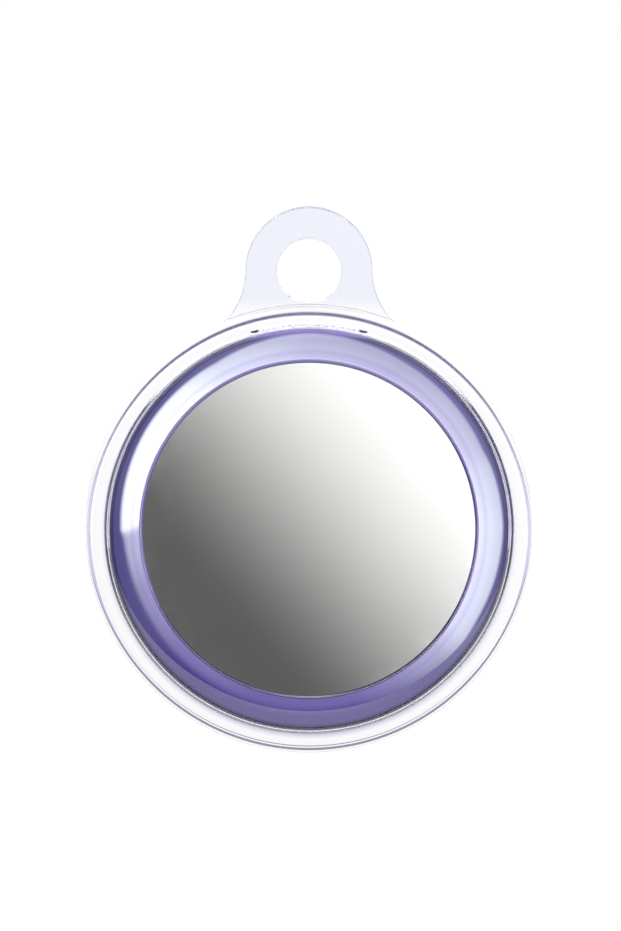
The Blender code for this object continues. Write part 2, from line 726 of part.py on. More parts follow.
def make_speaker(body, finishes):
    """Fixed magnet under its yoke, in the middle of the coil that is stuck to the dome."""
    magnet = around(MAGNET_RADIUS, magnet_bottom, magnet_top, MAGNET_CHAMFER)
    turned("speaker_magnet", magnet, body, finishes["magnet"], SMALL_SEGMENTS // 2)
    yoke_radius = MAGNET_RADIUS + YOKE_OVERHANG
    yoke = around(yoke_radius, yoke_bottom, yoke_top, MAGNET_CHAMFER / 2)
    turned("magnet_yoke", yoke, body, finishes["cell_steel"], SMALL_SEGMENTS // 2)
    inner = MAGNET_RADIUS + COIL_GAP
    outer = inner + COIL_WIDTH
    low = dome_height(outer) + DOME_WALL + SEAT
    high = low + COIL_HEIGHT
    coil = [
        (inner, low),
        (outer - COIL_EDGE, low),
        (outer, low + COIL_EDGE),
        (outer, high - COIL_EDGE),
        (outer - COIL_EDGE, high),
        (inner + COIL_EDGE, high),
        (inner, high - COIL_EDGE),
    ]
    turned("voice_coil", coil, body, finishes["copper"], SMALL_SEGMENTS)
    return outer


def make_circuit_board(coil_outer, body, finishes):
    """Ring-shaped board under the tray, with its chips on the side that faces the dome."""
    inner = coil_outer + BOARD_CLEARANCE
    outer = dome_inside_radius(board_bottom - BOARD_GAP)
    board = turned(
        "circuit_board", band(inner, outer, board_bottom, board_top), body, finishes["board_green"], SMALL_SEGMENTS
    )
    notch = radial_box(
        "board_notch",
        outer,
        BOARD_NOTCH / 2,
        BOARD_NOTCH / 2,
        math.radians(250),
        body,
        low=board_bottom - OVERRUN,
        high=board_top + OVERRUN,
    )
    combine(board, notch, "DIFFERENCE")
    for name, (width, depth, height, degrees, finish_name) in CHIPS.items():
        top = board_bottom - SEAT / 2
        radius = inner + (outer - inner) * CHIP_PLACE_SHARE
        chip = radial_box(
            name, radius, depth / 2, width / 2, math.radians(degrees), body, low=top - height, high=top
        )
        chip.data.materials.append(finishes[finish_name])
        bevel(chip, CHIP_EDGE, 1)


def make_antenna(body, finishes):
    """Open copper hoop in the groove round the tray."""
    outer = tray_outer - ANTENNA_FIT
    arc_block(
        "antenna_strip",
        (outer - ANTENNA_THICKNESS, outer),
        (equator - ANTENNA_HEIGHT / 2,) * 2,
        (equator + ANTENNA_HEIGHT / 2,) * 2,
        TURN / 4 + (TURN - ANTENNA_SWEEP) / 2,
        ANTENNA_SWEEP,
        body,
        finishes["copper"],
        steps=60,
    )


def make_coin_cell(body, finishes):
    """Can with the bare positive face up, and the cap set in a sealing ring underneath."""
    can_bottom = cell_bottom + CAP_PROUD
    recess_top = cell_bottom + CAP_THICKNESS + SEAT
    can = [
        (0.0, recess_top),
        (cap_recess, recess_top),
        (cap_recess, can_bottom),
        (CELL_RADIUS - CELL_EDGE, can_bottom),
        (CELL_RADIUS, can_bottom + CELL_EDGE),
        (CELL_RADIUS, cell_top - CELL_EDGE),
        (CELL_RADIUS - CELL_EDGE, cell_top),
        (0.0, cell_top),
    ]
    turned("cell_can", can, body, finishes["cell_steel"], SMALL_SEGMENTS)
    cap = around(cap_radius, cell_bottom, cell_bottom + CAP_THICKNESS, CAP_EDGE)
    turned("cell_cap", cap, body, finishes["cell_steel"], SMALL_SEGMENTS)
    seal = band(cap_radius + SEAT, cap_recess - SEAT, can_bottom + SEAT / 2, recess_top - SEAT)
    turned("cell_seal_ring", seal, body, finishes["grommet"], SMALL_SEGMENTS)


def make_cover(body, finishes):
    """Crowned steel plate, and the moulded ring under it with three ramped lugs."""
    edge_top, edge_under = cover_top - COVER_CROWN, cover_under - COVER_CROWN
    inner_edge = cover_radius - COVER_EDGE
    above = [(inner_edge * share, cover_top - crown_drop(inner_edge * share)) for share in shared_steps(5)]
    below = [(inner_edge * share, cover_under - crown_drop(inner_edge * share)) for share in shared_steps(3)]
    plate = [*below, (cover_radius, edge_under + COVER_EDGE), (cover_radius, edge_top - COVER_EDGE), *reversed(above)]
    turned("cover_plate", plate, body, finishes["steel"])
    ring_profile = [
        (skirt_inner, tab_bottom),
        (skirt_outer, tab_bottom),
        (skirt_outer, flange_bottom),
        (tab_outer, flange_bottom),
        (tab_outer, flange_top),
        (skirt_inner, flange_top),
    ]
    ring = turned("cover_lug_ring", ring_profile, body, finishes["lug_ring_black"], SMALL_SEGMENTS)
    for k in range(TABS):
        tab = arc_block(
            f"lug_{k}",
            (skirt_outer - BURIED, tab_outer),
            (tab_bottom,) * 2,
            (tab_low, tab_high),
            ledge_start(k) + LOCKED_OFFSET,
            TAB_SWEEP,
            body,
        )
        combine(ring, tab, "UNION")


def make_cover_liner(body, finishes):
    """Soft pieces that lift with the cover and don't turn: the pad over the cell, and the seal."""
    turned(
        "cell_pad", around(PAD_RADIUS, pad_bottom, pad_top, SEAT / 2), body, finishes["foam"], SMALL_SEGMENTS
    )
    seal = band(seal_inner, seal_outer, seal_bottom, seal_top)
    turned("cover_seal", seal, body, finishes["seal_rubber"])


def main():
    for old in list(bpy.data.objects):
        bpy.data.objects.remove(old)
    finishes = make_materials()
    wall_top = bezel_skirt_bottom() + BEZEL_SKIRT_HEIGHT + CASE_STAND
    case = body_axes("case_axes", None)
    case.location = (0.0, wall_top / 2, -lug_rise)
    case.rotation_euler = (TURN / 4, 0.0, 0.0)
    bezel = body_axes("bezel_axes", case)
    tag = body_axes("tag_axes", case)
    cell = body_axes("cell_axes", tag)
    liner = body_axes("cover_liner_axes", tag)
    cover = body_axes("cover_axes", liner)
    make_case_shell(wall_top, case, finishes)
    make_case_lug(wall_top, case, finishes)
    make_bezel(bezel, finishes)
    make_tag_housing(tag, finishes)
    make_battery_tray(tag, finishes)
    make_contacts(tag, finishes)
    coil_outer = make_speaker(tag, finishes)
    make_circuit_board(coil_outer, tag, finishes)
    make_antenna(tag, finishes)
    make_coin_cell(cell, finishes)
    make_cover_liner(liner, finishes)
    make_cover(cover, finishes)


main()
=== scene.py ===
"""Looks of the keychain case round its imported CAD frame: clear case, violet bezel, steel-covered tag.

Shapes are drawn in mm in the case's own axes: heights run from the back plane of the case to the steel
cover, radii from the axis of the disc, and y runs up to the lug. world() places them in the frame.
"""

import json
import math

import bmesh
import bpy
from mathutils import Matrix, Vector

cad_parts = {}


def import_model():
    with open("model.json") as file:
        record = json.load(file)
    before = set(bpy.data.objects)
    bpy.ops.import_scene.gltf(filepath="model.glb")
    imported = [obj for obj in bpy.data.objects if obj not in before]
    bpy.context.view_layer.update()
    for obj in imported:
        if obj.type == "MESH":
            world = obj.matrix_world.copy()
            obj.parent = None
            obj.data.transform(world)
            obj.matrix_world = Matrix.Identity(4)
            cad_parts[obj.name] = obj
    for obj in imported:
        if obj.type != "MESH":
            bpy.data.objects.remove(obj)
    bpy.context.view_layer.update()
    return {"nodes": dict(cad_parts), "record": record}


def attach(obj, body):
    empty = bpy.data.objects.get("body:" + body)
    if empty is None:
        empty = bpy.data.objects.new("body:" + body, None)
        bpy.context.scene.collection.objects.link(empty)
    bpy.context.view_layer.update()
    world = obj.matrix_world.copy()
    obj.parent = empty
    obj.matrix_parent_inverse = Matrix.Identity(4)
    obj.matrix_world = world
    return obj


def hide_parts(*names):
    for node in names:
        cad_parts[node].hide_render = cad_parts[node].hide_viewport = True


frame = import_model()

MM = 0.001
TURN = 2 * math.pi
FINE = 240  # segments round the axis of the disc
PLAIN = 96  # segments round the key ring hole
SMOOTH_ANGLE = math.radians(32)
OVERRUN = 1.0  # how far a cutter runs past what it cuts
RISE = 20.6  # from the axis of the disc up to the centre of the key ring hole

# Tag housing
RIM_TOP = 7.757327
RIM_START = 13.6
RIM_WIDTH = 2.35
TAG_RADIUS = RIM_START + RIM_WIDTH
EQUATOR = 5.65  # height at which the tag is widest
DOME_DEPTH = 5.2
DOME_SQUARENESS = 2.7
DOME_WALL = 0.85
HOUSING_BORE = 13.45
SHELF_HEIGHT = 3.05
SHELF_INNER = 12.73

# Steel cover
COVER_UNDER = RIM_TOP + 0.15  # height of its underside on the axis
COVER_RADIUS = 13.2
COVER_THICKNESS = 0.45
COVER_CROWN = 0.42
COVER_EDGE = 0.05

# Case
TOP = 8.318296
BACK = TOP / 2  # from the lug's middle plane to the back plane
BORE = 16.1
MOUTH = 16.0
WALL = 17.7
WALL_EDGE = 0.55
FRONT_SPREAD = 0.4  # how much wider the wall's front edge is rounded under the lug
FRONT_BAND = 0.8  # width of the band that spreads
MOUTH_EDGE = 0.2
GROOVE_DEPTH = 0.15
GROOVE_HALF = 0.15  # half the width of the groove's floor
SEAT_DEPTH = 5.35
LIP_RADIUS = 12.6
LIP_EDGE = 0.3
NOTCH_WIDTH = 8.8
NOTCH_DEPTH = 0.25
NOTCH_DROP = 0.6
NOTCH_INWARDS = 0.3  # how far its cutter starts inside the bore

# Lug
LUG_THICKNESS = 2.8
LUG_RADIUS = 5.05
LUG_NECK = 5.8
LUG_EDGE = 0.08
LUG_ROOT = 0.8  # from the bore out to where the lug starts, inside the wall
LUG_SINK = 0.2  # how far the necks run into the wall
HOLE_RADIUS = 2.57
HOLE_CHAMFER = 0.12
HOLE_FLARE = 3.8  # radius of the cutter clear of the lug
FILLET = 0.3
FILLET_END = 110  # degrees
COLLAR_START = 62  # degrees
COLLAR_SWEEP = 56
COLLAR_SINK = 0.4
COLLAR_TIP = 0.2
COLLAR_INSET = 0.1

# Bezel
BEZEL_DROP = 0.6  # from the wall's top down to the bezel's outer edge
BEZEL_OUTER = 15.95
BEZEL_GAP = 0.1
BEZEL_SEAT = 0.15
BEZEL_LIP = 0.75
BEZEL_INNER_EDGE = 0.03
CROWN_INSET = 0.8  # from the inner edge inwards to the middle of the crown's curve
SKIRT_HEIGHT = 0.55
SKIRT_WALL = 0.5
SKIRT_LOW = TOP - BEZEL_DROP - SKIRT_HEIGHT
STEP_REACH = 0.085  # of the fine step under the inner edge
STEP_HEIGHT = 0.04
BEAD = SKIRT_LOW + SKIRT_HEIGHT / 2  # height of the snap bead and of its groove
BEAD_SECTION = ((0.15, 0.0), (0.08, 0.03), (0.0, 0.04), (-0.08, 0.03), (-0.15, 0.0))  # (height, reach)


def world(x, y, z):
    """A point in the case's own axes as a point of the frame, in metres."""
    return Vector((x * MM, (BACK - z) * MM, (y - RISE) * MM))


def ellipse(centre, across, up, start, end, steps):
    """Points of an ellipse between two angles in degrees."""
    turn = [math.radians(start + (end - start) * k / steps) for k in range(steps + 1)]
    return [(centre[0] + across * math.cos(a), centre[1] + up * math.sin(a)) for a in turn]


def arc(centre, radius, start, end, steps):
    return ellipse(centre, radius, radius, start, end, steps)


def dome(radius, reach=TAG_RADIUS, depth=DOME_DEPTH):
    """Height of a dome's outer surface, which is widest at the equator and lowest on the axis."""
    share = min(radius / reach, 1.0)
    return EQUATOR - depth * (1 - share**DOME_SQUARENESS) ** (1 / DOME_SQUARENESS)


def rim_curve(gap, end_radius, steps):
    """The curve of the tag's rim, offset outwards by gap, from its land to end_radius."""
    across, up = RIM_WIDTH + gap, RIM_TOP - EQUATOR + gap
    end = math.asin(min((end_radius - RIM_START) / across, 1.0))
    turn = [end * k / steps for k in range(steps + 1)]
    return [(RIM_START + across * math.sin(a), EQUATOR + up * math.cos(a)) for a in turn]


def new_object(name, bm):
    bmesh.ops.recalc_face_normals(bm, faces=bm.faces[:])
    mesh = bpy.data.meshes.new(name)
    bm.to_mesh(mesh)
    bm.free()
    made = bpy.data.objects.new(name, mesh)
    bpy.context.scene.collection.objects.link(made)
    return made


def turned(name, profile, segments=FINE, centre=(0.0, 0.0)):
    """(radius, height) points turned round the axis: a closed loop, or from axis to axis."""
    bm = bmesh.new()
    angles = [TURN * k / segments for k in range(segments)]
    rings = []
    for radius, height in profile:
        around = [(centre[0] + radius * math.cos(a), centre[1] + radius * math.sin(a)) for a in angles]
        if radius <= 0:
            around = [centre]
        rings.append([bm.verts.new(world(x, y, height)) for x, y in around])
    pairs = list(zip(rings, rings[1:]))
    if len(rings[0]) > 1:
        pairs.append((rings[-1], rings[0]))
    for near, far in pairs:
        for k in range(segments):
            j = (k + 1) % segments
            if len(near) == 1:
                bm.faces.new((near[0], far[k], far[j]))
            elif len(far) == 1:
                bm.faces.new((near[k], far[0], near[j]))
            else:
                bm.faces.new((near[k], far[k], far[j], near[j]))
    return new_object(name, bm)


def swept(name, sections):
    """A solid through loops of frame points, closed at both ends."""
    bm = bmesh.new()
    loops = [[bm.verts.new(point) for point in section] for section in sections]
    count = len(loops[0])
    for near, far in zip(loops, loops[1:]):
        for k in range(count):
            bm.faces.new((near[k], near[(k + 1) % count], far[(k + 1) % count], far[k]))
    bm.faces.new(loops[0])
    bm.faces.new(list(reversed(loops[-1])))
    return new_object(name, bm)


def bent(name, section, start, sweep, steps):
    """A section of (radius, height) points, swept part of the way round the axis."""
    sections = []
    for k in range(steps + 1):
        a = math.radians(start + sweep * k / steps)
        x, y = math.cos(a), math.sin(a)
        sections.append([world(radius * x, radius * y, height) for radius, height in section])
    return swept(name, sections)


def settle(target):
    """Applies the modifiers of target."""
    graph = bpy.context.evaluated_depsgraph_get()
    mesh = bpy.data.meshes.new_from_object(target.evaluated_get(graph))
    mesh.name = target.name
    old = target.data
    target.modifiers.clear()
    target.data = mesh
    bpy.data.meshes.remove(old)


def combine(target, other, operation):
    """Joins or cuts target by other, keeps the result as plain mesh and drops other."""
    change = target.modifiers.new(operation, "BOOLEAN")
    change.operation = operation
    change.object = other
    change.solver = "EXACT"
    settle(target)
    bpy.data.objects.remove(other)


def bevelled(target, width, segments, angle):
    rounding = target.modifiers.new("edges", "BEVEL")
    rounding.width = width * MM
    rounding.segments = segments
    rounding.limit_method = "ANGLE"
    rounding.angle_limit = math.radians(angle)
    settle(target)


def dress(made, body, slot, *nodes):
    """Shades the piece smooth, gives it its material, and stands it in for its CAD nodes."""
    made.data.shade_smooth()
    made.data.set_sharp_from_angle(angle=SMOOTH_ANGLE)
    even = made.modifiers.new("even", "WEIGHTED_NORMAL")
    even.keep_sharp = True
    settle(made)
    made.data.materials.clear()
    made.data.materials.append(FINISHES[slot])
    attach(made, body)
    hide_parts(*nodes)


# Materials


def srgb(red, green, blue):
    """A linear colour from its 0 to 255 screen values."""
    values = [v / 255 for v in (red, green, blue)]
    return tuple(v / 12.92 if v <= 0.04045 else ((v + 0.055) / 1.055) ** 2.4 for v in values)


class Graph:
    """Short calls for a shader tree. A value is a number, a colour or the output of another node."""

    def __init__(self, tree):
        self.tree = tree

    def node(self, kind, **settings):
        made = self.tree.nodes.new(kind)
        for key, value in settings.items():
            setattr(made, key, value)
        return made

    def put(self, value, socket):
        if isinstance(value, bpy.types.NodeSocket):
            self.tree.links.new(value, socket)
        elif isinstance(value, tuple):
            socket.default_value = (*value, 1.0)
        else:
            socket.default_value = value

    def filled(self, made, **values):
        """Puts each value on the node's socket of that name, and returns the node."""
        for key, value in values.items():
            self.put(value, made.inputs[key.replace("_", " ")])
        return made

    def maths(self, operation, *values):
        made = self.node("ShaderNodeMath", operation=operation)
        for value, socket in zip(values, made.inputs):
            self.put(value, socket)
        return made.outputs[0]

    def product(self, *values):
        found = values[0]
        for value in values[1:]:
            found = self.maths("MULTIPLY", found, value)
        return found

    def total(self, *values):
        found = values[0]
        for value in values[1:]:
            found = self.maths("ADD", found, value)
        return found

    def distance(self, first, second):
        """How far a point lies that is first one way and second square to it."""
        return self.maths("POWER", self.total(self.product(first, first), self.product(second, second)), 0.5)

    def ramp(self, value, start, end, low=0.0, high=1.0):
        """Eases from low to high as value goes from start to end."""
        if start > end:
            start, end, low, high = end, start, high, low
        made = self.node("ShaderNodeMapRange", interpolation_type="SMOOTHSTEP")
        self.filled(made, Value=value, From_Min=start, From_Max=end, To_Min=low, To_Max=high)
        return made.outputs["Result"]

    def mixed(self, factor, first, second):
        """The first colour where factor is 0, and the second where it's 1."""
        made = self.node("ShaderNodeMix", data_type="RGBA")
        return self.filled(made, Factor=factor, A=first, B=second).outputs["Result"]


class Finish(Graph):
    """A Principled material, whose noise and places are in object coordinates."""

    def __init__(self, name, colour, roughness, **values):
        self.material = bpy.data.materials.new(name)
        self.material.use_nodes = True
        super().__init__(self.material.node_tree)
        self.shader = self.tree.nodes["Principled BSDF"]
        self.filled(self.shader, Base_Color=colour, Roughness=roughness, **values)
        self.coords = self.node("ShaderNodeTexCoord").outputs["Object"]

    def noise(self, scale, detail=3.0, stretch=(1, 1, 1)):
        """Noise with scale features per metre."""
        mapping = self.node("ShaderNodeMapping")
        mapping.inputs["Scale"].default_value = stretch
        self.put(self.coords, mapping.inputs["Vector"])
        made = self.node("ShaderNodeTexNoise")
        return self.filled(made, Vector=mapping.outputs["Vector"], Scale=scale, Detail=detail).outputs["Fac"]

    def spread(self, value, low, high):
        """Maps the middle of a noise onto low to high."""
        made = self.node("ShaderNodeMapRange")
        self.filled(made, Value=value, From_Min=0.3, From_Max=0.7, To_Min=low, To_Max=high)
        return made.outputs["Result"]

    def rough(self, value, low, high):
        self.filled(self.shader, Roughness=self.spread(value, low, high))

    def tint(self, value, first, second):
        self.filled(self.shader, Base_Color=self.mixed(self.spread(value, 0.0, 1.0), first, second))

    def bump(self, value, height_mm, strength):
        made = self.node("ShaderNodeBump")
        self.filled(made, Distance=height_mm * MM, Strength=strength, Height=value)
        self.filled(self.shader, Normal=made.outputs["Normal"])

    def eased(self, value, start, end, low=0.0, high=1.0):
        """A ramp over start to end in mm."""
        return self.ramp(value, start * MM, end * MM, low, high)

    def moved(self, x, y, z):
        """The coordinates, moved by so many mm."""
        made = self.node("ShaderNodeVectorMath", operation="ADD")
        made.inputs[1].default_value = (x * MM, y * MM, z * MM)
        self.put(self.coords, made.inputs[0])
        return made.outputs["Vector"]

    def places(self):
        """How far a point lies from the axis, to its side, above it, and behind the case's front face."""
        split = self.node("ShaderNodeSeparateXYZ")
        self.put(self.moved(0.0, TOP - BACK, RISE), split.inputs[0])
        across, depth, height = split.outputs
        radius, aside = self.distance(across, height), self.maths("ABSOLUTE", across)
        return {"radius": radius, "aside": aside, "height": height, "depth": depth}

    def inside(self, places, bounds):
        """1 inside all the bounds. Each place has (start, end) pairs in mm, over which a bound eases in."""
        eased = [self.eased(places[key], *pair) for key, pairs in bounds.items() for pair in pairs]
        return self.product(*eased)


# Where painted shade darkens the clear case: the front half of its mouth's edge, and the two ends of the
# notch
MOUTH_BOUNDS = {
    "radius": ((MOUTH - 0.06, MOUTH), (MOUTH + 0.24, MOUTH + 0.17)),
    "depth": ((0.24, 0.18),),
    "height": ((13.6, 9.5),),
}
NOTCH_BOUNDS = {
    "aside": ((3.85, 4.1), (4.7, 4.55)),
    "radius": ((BORE - 0.02, BORE + 0.02), (BORE + 0.22, BORE + 0.18)),
    "depth": ((NOTCH_DROP + 0.1, NOTCH_DROP + 0.05),),
    "height": ((0.0, 1.0),),
}


def clear_plastic():
    """Clear in the ring wall, faintly lavender in the lug, with painted shade where its mouth meets the bezel
    and at the notch's two ends.
    """
    wall, lug, dark = (0.99, 0.99, 1.0), (0.881, 0.896, 0.978), (0.004, 0.0035, 0.009)
    made = Finish("clear_lavender", wall, 0.01, Transmission_Weight=1.0, IOR=1.49)
    made.bump(made.noise(180.0, 1.0), 0.002, 0.15)
    places = made.places()
    tint = made.mixed(made.eased(places["height"], RISE - 3.4, RISE - 2.0), wall, lug)
    # Painted shade: a dark line round the front of the mouth, a little fainter lower down, and dark marks at
    # the notch's ends
    mouth = made.product(made.inside(places, MOUTH_BOUNDS), made.eased(places["height"], -13, -3, 0.88, 1.0))
    painted_shade = made.maths("MAXIMUM", mouth, made.inside(places, NOTCH_BOUNDS))
    made.filled(made.shader, Base_Color=made.mixed(painted_shade, tint, dark))
    return made.material


def violet_plastic():
    """Glossy violet with painted shade where the ring rolls down to its outer edge, most of all below and
    never at the top, and on the lower part of its inner edge.
    """
    low, high = srgb(129, 115, 190), srgb(133, 119, 194)
    made = Finish("violet", low, 0.06, IOR=1.5, Coat_Weight=1.0, Coat_IOR=1.8, Coat_Roughness=0.02)
    made.rough(made.noise(420.0, 3.0), 0.05, 0.08)
    made.bump(made.noise(260.0, 1.0), 0.003, 0.1)
    colour = made.mixed(made.noise(140.0, 2.0), low, high)
    places = made.places()
    radius, height = places["radius"], places["height"]
    # Painted shade: darker bands towards the outer edge, darker still on the lower side, and none near the
    # top
    crest = made.eased(height, 15.4, 14.8)
    below = made.eased(height, -7, -12)
    for start, end, edge_shade, edge_shade_below in (
        (13.7, 14.9, srgb(102, 93, 162), srgb(82, 66, 150)),
        (15.4, 15.56, srgb(70, 64, 118), srgb(44, 32, 108)),
    ):
        edge = made.product(made.eased(radius, start, end), crest)
        colour = made.mixed(edge, colour, made.mixed(below, edge_shade, edge_shade_below))
    # Painted shade on the lower part of the inner edge, which dims the light it mirrors there
    inner = made.product(made.eased(radius, 13.44, 13.38), made.eased(height, -3, -8))
    made.filled(made.shader, Base_Color=made.mixed(inner, colour, srgb(72, 64, 112)))
    return made.material


def polished_steel():
    made = Finish("steel", (0.76, 0.76, 0.75), 0.03, Metallic=1.0)
    made.rough(made.noise(900.0, 4.0), 0.02, 0.045)
    made.tint(made.noise(70.0, 2.0), (0.75, 0.75, 0.74), (0.78, 0.78, 0.77))
    made.bump(made.noise(2600.0, 2.0), 0.0004, 0.1)
    return made.material


def plain_plastic(name, first, second, roughness, grain=700.0, height=0.006, **values):
    made = Finish(name, first, roughness, **values)
    made.tint(made.noise(110.0, 2.0), first, second)
    made.rough(made.noise(300.0, 3.0), roughness - 0.03, roughness + 0.04)
    made.bump(made.noise(grain, 2.0), height, 0.3)
    return made.material


def plain_metal(name, first, second, roughness, grain=500.0, stretch=(1, 1, 1)):
    made = Finish(name, first, roughness, Metallic=1.0)
    made.tint(made.noise(90.0, 2.0), first, second)
    made.rough(made.noise(grain, 4.0, stretch), roughness - 0.06, roughness + 0.08)
    made.bump(made.noise(grain * 3, 2.0, stretch), 0.003, 0.2)
    return made.material


def copper_winding():
    """Copper with the fine turns of a wound coil, seen as rings round the axis."""
    made = Finish("copper", (0.72, 0.33, 0.16), 0.32, Metallic=1.0)
    made.tint(made.noise(200.0, 2.0), (0.70, 0.31, 0.15), (0.78, 0.40, 0.20))
    made.rough(made.noise(700.0, 3.0), 0.26, 0.4)
    wave = made.node("ShaderNodeTexWave", wave_type="RINGS", rings_direction="Y")
    made.filled(wave, Vector=made.moved(0.0, 0.0, RISE), Scale=1600.0)
    made.bump(wave.outputs["Fac"], 0.02, 0.4)
    return made.material


WHITE_COAT = {"Coat_Weight": 0.6, "Coat_Roughness": 0.04}
FINISHES = {
    "clear_lavender": clear_plastic(),
    "violet": violet_plastic(),
    "steel": polished_steel(),
    "white": plain_plastic("white", (0.84, 0.84, 0.83), (0.87, 0.87, 0.86), 0.14, **WHITE_COAT),
    "tray_grey": plain_plastic("tray_grey", (0.50, 0.51, 0.53), (0.56, 0.57, 0.59), 0.48),
    "lug_ring_black": plain_plastic("lug_ring_black", (0.035, 0.035, 0.04), (0.05, 0.05, 0.055), 0.45),
    "foam": plain_plastic("foam", (0.05, 0.05, 0.055), (0.09, 0.09, 0.095), 0.9, 4200.0, 0.05),
    "seal_rubber": plain_plastic("seal_rubber", (0.03, 0.03, 0.035), (0.045, 0.045, 0.05), 0.7),
    "cell_steel": plain_metal("cell_steel", (0.62, 0.63, 0.65), (0.70, 0.70, 0.71), 0.26, 420.0),
    "grommet": plain_plastic("grommet", (0.06, 0.06, 0.065), (0.08, 0.08, 0.085), 0.65),
    "board_green": plain_plastic("board_green", (0.012, 0.085, 0.04), (0.02, 0.12, 0.06), 0.35, 1500.0, 0.01),
    "chip_black": plain_plastic("chip_black", (0.018, 0.018, 0.02), (0.03, 0.03, 0.033), 0.5, 2600.0, 0.006),
    "tinned_can": plain_metal("tinned_can", (0.58, 0.59, 0.60), (0.66, 0.66, 0.67), 0.3, 600.0),
    "copper": copper_winding(),
    "magnet": plain_metal("magnet", (0.48, 0.48, 0.50), (0.55, 0.55, 0.57), 0.28, 500.0),
    "contact": plain_metal("contact", (0.80, 0.66, 0.34), (0.85, 0.72, 0.42), 0.24, 800.0, (1, 1, 4)),
}


# Clear case


def case_profile():
    """The section of the wall and lip, from the wall's back edge round to the lip's."""
    lip_turn = math.acos(LIP_RADIUS / BORE)
    seat_steps = 14
    seat = [BORE * math.cos(lip_turn * k / seat_steps) for k in range(seat_steps + 1)]
    return [
        *arc((WALL - WALL_EDGE, WALL_EDGE), WALL_EDGE, -90, 0, 8),
        *arc((WALL - WALL_EDGE, TOP - WALL_EDGE), WALL_EDGE, 0, 90, 8),
        *arc((MOUTH + MOUTH_EDGE, TOP - MOUTH_EDGE), MOUTH_EDGE, 90, 180, 6),
        (MOUTH, BEAD + 2 * GROOVE_HALF),
        (BORE + GROOVE_DEPTH, BEAD + GROOVE_HALF),
        (BORE + GROOVE_DEPTH, BEAD - GROOVE_HALF),
        (BORE, BEAD - 2 * GROOVE_HALF),
        *[(radius, dome(radius, BORE, SEAT_DEPTH)) for radius in seat],
        *arc((LIP_RADIUS + LIP_EDGE, LIP_EDGE), LIP_EDGE, 180, 270, 5),
    ]


def widen_front_edge(shell):
    """Draws the rounding of the wall's front edge inwards, most of all under the lug."""
    for vertex in shell.data.vertices:
        across, up = vertex.co.x / MM, vertex.co.z / MM + RISE
        rise = ((BACK - vertex.co.y / MM) - (TOP - WALL_EDGE)) / WALL_EDGE
        radius = math.hypot(across, up)
        if rise > 0 and radius > WALL - FRONT_BAND:
            inwards = FRONT_SPREAD * (1 - (1 - rise) ** 2) * max(up / radius, 0.0)
            vertex.co.x -= inwards * across / radius * MM
            vertex.co.z -= inwards * up / radius * MM


def make_notch():
    """The cutter for the prising notch in the mouth, under the lug."""
    half = math.degrees(math.asin(NOTCH_WIDTH / 2 / BORE))
    inner, outer = BORE - NOTCH_INWARDS, BORE + NOTCH_DEPTH
    low, high = TOP - NOTCH_DROP, TOP + OVERRUN
    return bent("notch", ((inner, low), (outer, low), (outer, high), (inner, high)), 90 - half, 2 * half, 24)


def lug_outline(inset):
    """The ear round the key ring hole and its two necks, which run tangent into the wall."""
    ear, neck = LUG_RADIUS - inset, LUG_NECK + inset
    far, near = WALL - LUG_SINK - inset + neck, ear + neck
    y = (far**2 - near**2 + RISE**2) / (2 * RISE)
    x = math.sqrt(far**2 - y**2)
    to_ring = math.degrees(math.atan2(y, x))
    to_ear = math.degrees(math.atan2(y - RISE, x))
    outline = arc((0, 0), BORE + LUG_ROOT, 180 - to_ring, to_ring, 20)
    outline += arc((x, y), neck, 180 + to_ring, 180 + to_ear, 16)
    outline += arc((0, RISE), ear, to_ear, 180 - to_ear, 60)[1:-1]
    outline += arc((-x, y), neck, -to_ear, -to_ring, 16)
    return outline


def lug_block(name, inset, low, high):
    return swept(name, [[world(x, y, height) for x, y in lug_outline(inset)] for height in (low, high)])


def make_collar(low, high):
    """The fillets between the lug's faces and the wall."""
    stand = FILLET * math.sin(math.radians(FILLET_END))
    foot = arc((WALL + FILLET, low - stand), FILLET, 180, FILLET_END, 6)
    head = arc((WALL + FILLET, high + stand), FILLET, -FILLET_END, -180, 6)
    inner, tip = WALL - COLLAR_SINK, foot[-1][0] + COLLAR_TIP
    section = [
        (inner, low - stand),
        *foot,
        (tip, low + COLLAR_TIP),
        (tip, high - COLLAR_TIP),
        *head,
        (inner, high + stand),
    ]
    collar = bent("collar", section, COLLAR_START, COLLAR_SWEEP, 30)
    combine(collar, lug_block("limit", COLLAR_INSET, low - 2 * OVERRUN, high + 2 * OVERRUN), "INTERSECT")
    return collar


def make_hole(low, high):
    """The cutter for the key ring hole, with a chamfer at either face."""
    radius = HOLE_RADIUS + HOLE_CHAMFER
    profile = [
        (0.0, low - OVERRUN),
        (HOLE_FLARE, low - OVERRUN),
        *arc((radius, low + HOLE_CHAMFER), HOLE_CHAMFER, 240, 180, 3),
        *arc((radius, high - HOLE_CHAMFER), HOLE_CHAMFER, 180, 120, 3),
        (HOLE_FLARE, high + OVERRUN),
        (0.0, high + OVERRUN),
    ]
    return turned("hole", profile, PLAIN, (0.0, RISE))


def make_case():
    """Ring wall, back lip and lug as the one clear moulding that they are."""
    low, high = BACK - LUG_THICKNESS / 2, BACK + LUG_THICKNESS / 2
    lug = lug_block("lug", 0.0, low, high)
    bevelled(lug, LUG_EDGE, 3, 50)
    combine(lug, make_collar(low, high), "UNION")
    combine(lug, make_hole(low, high), "DIFFERENCE")
    shell = turned("case_clear", case_profile())
    widen_front_edge(shell)
    combine(shell, lug, "UNION")
    combine(shell, make_notch(), "DIFFERENCE")
    dress(shell, "case", "clear_lavender", "case_shell", "case_lug")


# Bezel, tag housing and steel cover


